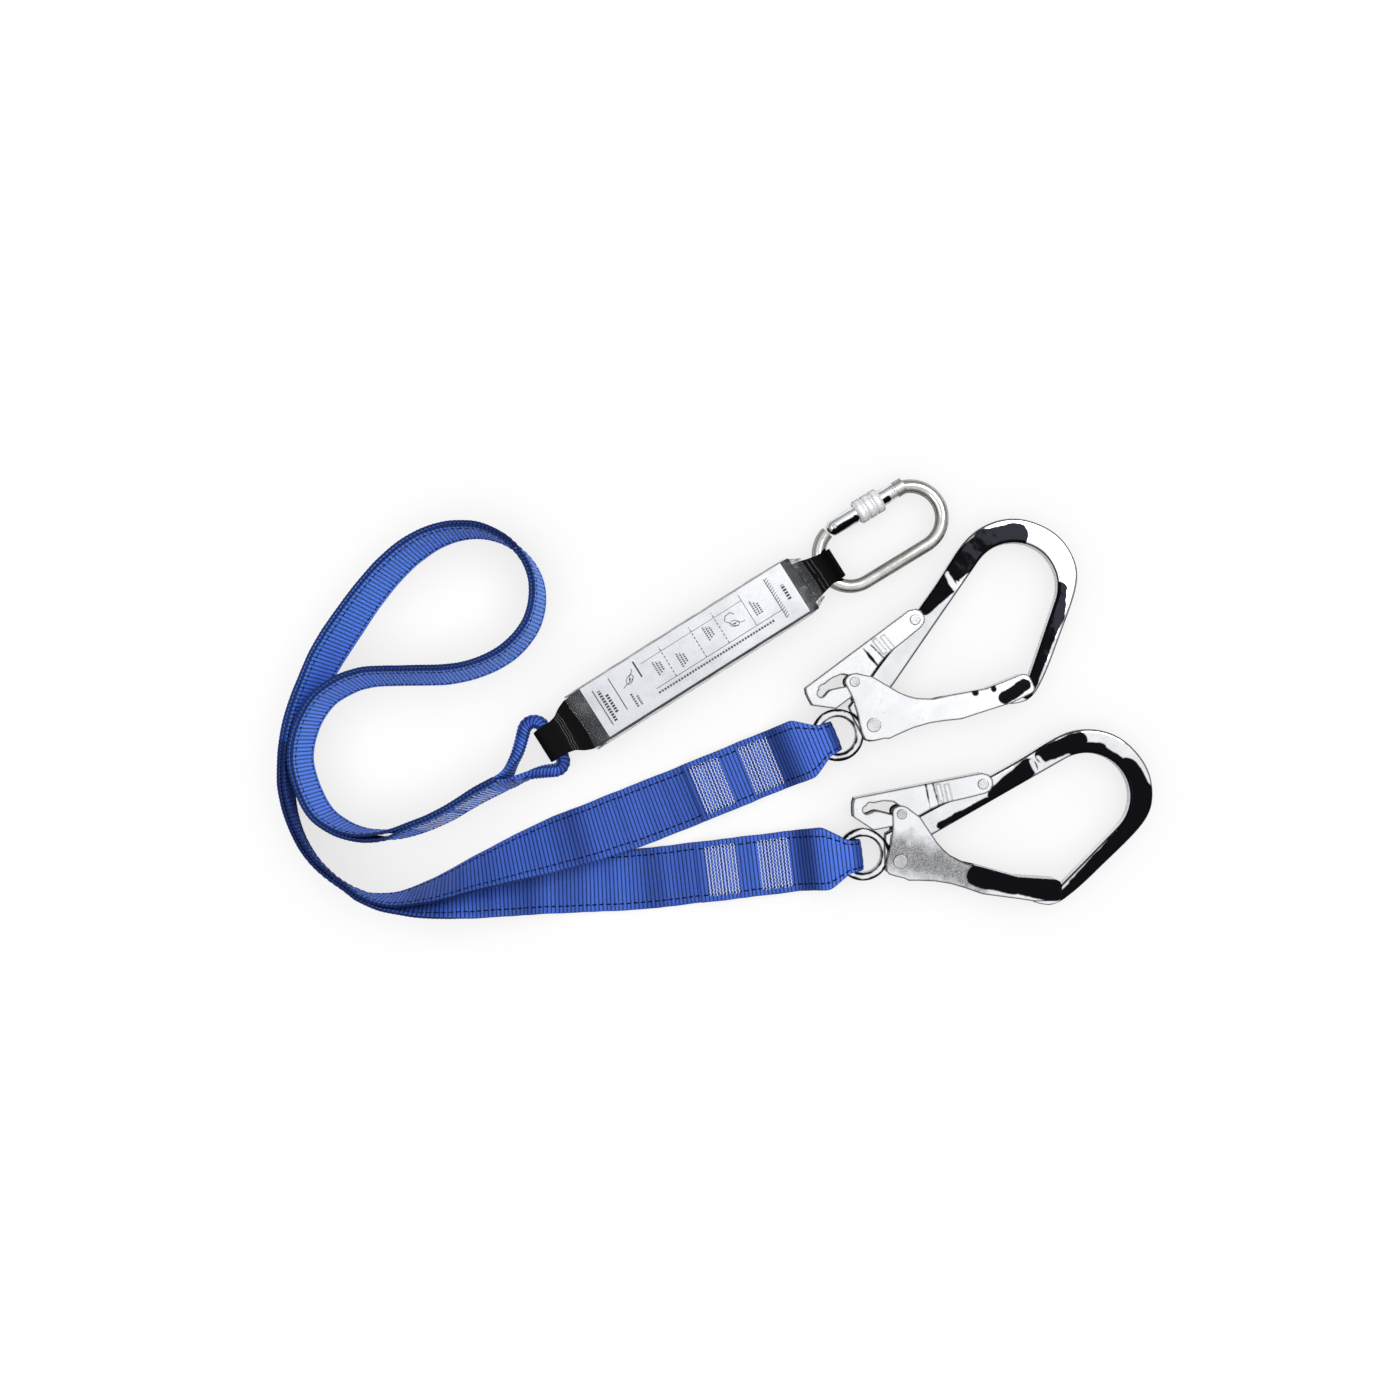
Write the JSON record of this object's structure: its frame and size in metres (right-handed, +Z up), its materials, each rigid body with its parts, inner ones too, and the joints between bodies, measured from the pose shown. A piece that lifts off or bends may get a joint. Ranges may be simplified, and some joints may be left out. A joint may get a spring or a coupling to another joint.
{
  "type": "shock absorbing lanyard",
  "caption": "Twin-leg webbing lanyard with a film-wrapped tear-webbing energy absorber, an oval locking karabiner and wide-opening scaffold hooks, laid out coiled.",
  "frame": {"origin": "centre of the laid-out lanyard's footprint, on the floor it lies on", "axes": "+X from the webbing coil towards the scaffold hooks, +Y towards the karabiner, +Z up from the floor"},
  "size_m": [0.6354, 0.3209, 0.0451],
  "materials": {
    "blue_webbing": "ribbed polyester webbing, satin",
    "blue_webbing_lower": "ribbed polyester webbing, satin",
    "white_thread": "bonded polyester thread",
    "chrome_steel": "bright plate",
    "rivet_steel": "turned and peened",
    "spring_steel": "drawn wire",
    "sheet_steel": "bright plate, lightly brushed",
    "clear_film": "clear shrink film",
    "tear_webbing": "matt woven",
    "black_webbing": "matt woven",
    "label_card": "matt printed card",
    "zinc_steel": "satin zinc plate"
  },
  "bodies": {
    "lanyard_coil": {"leg_a_webbing": "blue_webbing", "leg_b_webbing": "blue_webbing_lower", "lanyard_eye": "blue_webbing", "eye_stitching": "white_thread"},
    "leg_a_end": {"leg_a_tail": "blue_webbing", "leg_a_end_stitching": "white_thread"},
    "hook_a": {"hook_a_body": "chrome_steel", "hook_a_gate_rivet": "rivet_steel", "hook_a_lever_rivet": "rivet_steel", "hook_a_gate_spring": "spring_steel", "hook_a_lever_spring": "spring_steel"},
    "hook_a_gate": {"hook_a_gate": "sheet_steel", "hook_a_link_rivet": "rivet_steel"},
    "hook_a_lever": {"hook_a_lever": "sheet_steel"},
    "leg_b_end": {"leg_b_tail": "blue_webbing_lower", "leg_b_end_stitching": "white_thread"},
    "hook_b": {"hook_b_body": "chrome_steel", "hook_b_gate_rivet": "rivet_steel", "hook_b_lever_rivet": "rivet_steel", "hook_b_gate_spring": "spring_steel", "hook_b_lever_spring": "spring_steel"},
    "hook_b_gate": {"hook_b_gate": "sheet_steel", "hook_b_link_rivet": "rivet_steel"},
    "hook_b_lever": {"hook_b_lever": "sheet_steel"},
    "absorber": {"absorber_sleeve": "clear_film", "absorber_tear_webbing": "tear_webbing", "absorber_backup_strap": "black_webbing", "absorber_label": "label_card", "absorber_eye_lanyard": "black_webbing", "absorber_eye_karabiner": "black_webbing"},
    "karabiner": {"karabiner_body": "zinc_steel", "karabiner_gate_pin": "rivet_steel"},
    "karabiner_gate": {"karabiner_gate": "zinc_steel", "karabiner_nose_pin": "rivet_steel", "karabiner_gate_spring": "spring_steel"},
    "karabiner_lock": {"karabiner_lock_sleeve": "zinc_steel"},
    "karabiner_plunger": {"karabiner_gate_plunger": "zinc_steel"}
  },
  "joints": [
    {"name": "leg_a_flex", "type": "hinge", "parent": "lanyard_coil", "child": "leg_a_end", "pos_m": [-0.03335, -0.07748, 0.00105], "axis": [0.3795, -0.9252, 0], "range_deg": [-20, 60]},
    {"name": "hook_a_swing", "type": "hinge", "parent": "leg_a_end", "child": "hook_a", "pos_m": [0.0749, -0.03308, 0.0117], "axis": [0.3795, -0.9252, 0], "range_deg": [-42, 42]},
    {"name": "hook_a_gate_hinge", "type": "hinge", "parent": "hook_a", "child": "hook_a_gate", "pos_m": [0.11365, -0.02028, 0.0117], "axis": [0, 0, 1], "range_deg": [0, 35], "deforming": ["hook_a_gate_spring"]},
    {"name": "hook_a_lever_hinge", "type": "hinge", "parent": "hook_a", "child": "hook_a_lever", "pos_m": [0.14384, 0.05637, 0.0117], "axis": [0, 0, 1], "range_deg": [0, 8.5], "deforming": ["hook_a_lever_spring"]},
    {"name": "leg_b_flex", "type": "hinge", "parent": "lanyard_coil", "child": "leg_b_end", "pos_m": [-0.04585, -0.13328, 0.00105], "axis": [0.1193, -0.9929, 0], "range_deg": [-20, 18]},
    {"name": "hook_b_swing", "type": "hinge", "parent": "leg_b_end", "child": "hook_b", "pos_m": [0.09255, -0.11665, 0.0117], "axis": [0.1193, -0.9929, 0], "range_deg": [-42, 42]},
    {"name": "hook_b_gate_hinge", "type": "hinge", "parent": "hook_b", "child": "hook_b_gate", "pos_m": [0.13295, -0.11938, 0.0117], "axis": [0, 0, 1], "range_deg": [0, 35], "deforming": ["hook_b_gate_spring"]},
    {"name": "hook_b_lever_hinge", "type": "hinge", "parent": "hook_b", "child": "hook_b_lever", "pos_m": [0.19329, -0.0633, 0.0117], "axis": [0, 0, 1], "range_deg": [0, 8.5], "deforming": ["hook_b_lever_spring"]},
    {"name": "absorber_swing", "type": "hinge", "parent": "lanyard_coil", "child": "absorber", "pos_m": [-0.12062, -0.03239, 0.012], "axis": [0.5329, -0.8462, 0], "range_deg": [-30, 90]},
    {"name": "karabiner_swing", "type": "hinge", "parent": "absorber", "child": "karabiner", "pos_m": [0.07951, 0.09363, 0.0106], "axis": [0.5329, -0.8462, 0], "range_deg": [-90, 90]},
    {"name": "karabiner_gate_hinge", "type": "hinge", "parent": "karabiner", "child": "karabiner_gate", "pos_m": [0.08558, 0.12458, 0.0106], "axis": [0, 0, -1], "range_deg": [0, 26], "deforming": ["karabiner_gate_spring"]},
    {"name": "karabiner_lock_travel", "type": "slide", "parent": "karabiner_gate", "child": "karabiner_lock", "axis": [0.8536, 0.521, 0], "range_m": [0, 0.0135]},
    {"name": "karabiner_plunger_travel", "type": "slide", "parent": "karabiner_gate", "child": "karabiner_plunger", "axis": [0.8536, 0.521, 0], "range_m": [0, 0.0008]}
  ],
  "couplings": [
    {"joint": "hook_a_lever_hinge", "follows": "hook_a_gate_hinge", "ratio": 0.22857},
    {"joint": "hook_b_lever_hinge", "follows": "hook_b_gate_hinge", "ratio": 0.22857},
    {"joint": "karabiner_plunger_travel", "follows": "karabiner_gate_hinge", "m_per_rad": 0.0013222}
  ]
}
